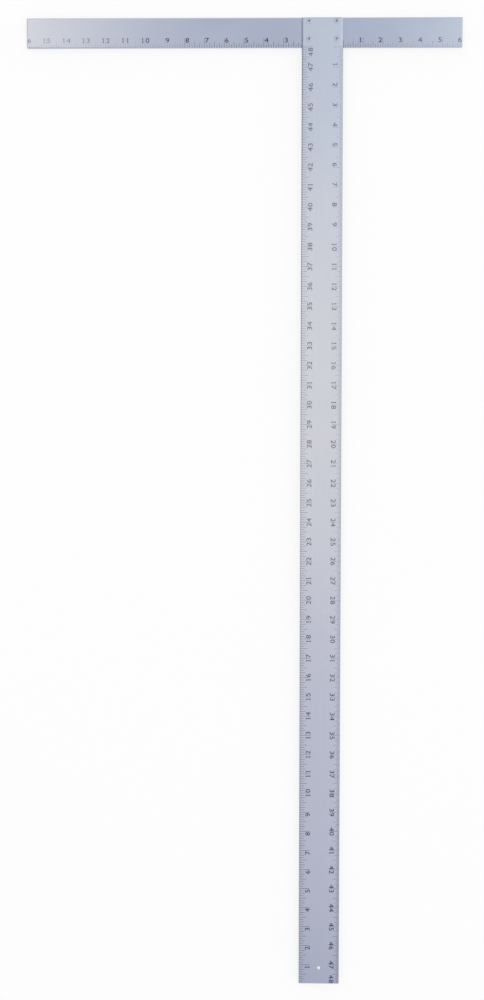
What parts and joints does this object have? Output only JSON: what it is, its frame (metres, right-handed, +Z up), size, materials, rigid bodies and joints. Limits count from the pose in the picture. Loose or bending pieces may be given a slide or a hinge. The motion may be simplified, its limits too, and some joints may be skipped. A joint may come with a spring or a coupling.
{
  "type": "t square",
  "caption": "Flat aluminium T-square for sheet material: a long blade riveted across a short head bar that guides along a board's edge, with a hang hole at the tip.",
  "frame": {"origin": "on the head bar's guide face, at half the head bar's thickness, in line with the blade's measuring edge, where both head scales and the blade's right-hand scale read zero", "axes": "+X along the head bar to its short arm, +Y along the blade towards the head bar's back edge, so the blade points to -Y, and +Z up through the graduated face"},
  "size_m": [0.5588, 1.2573, 0.0157],
  "materials": {
    "blade_aluminium": "satin anodised, drawn along the blade",
    "head_aluminium": "satin anodised, drawn along the head",
    "rivet_aluminium": "plain, as set",
    "mandrel_steel": "dark, snapped end",
    "scale_ink": "thin dark fill of the graduations and numbers"
  },
  "bodies": {
    "root": {"head_bar": "head_aluminium", "blade": "blade_aluminium", "front_left_rivet": "rivet_aluminium", "front_right_rivet": "rivet_aluminium", "back_left_rivet": "rivet_aluminium", "back_right_rivet": "rivet_aluminium", "front_left_mandrel": "mandrel_steel", "front_right_mandrel": "mandrel_steel", "back_left_mandrel": "mandrel_steel", "back_right_mandrel": "mandrel_steel"}
  },
  "joints": []
}
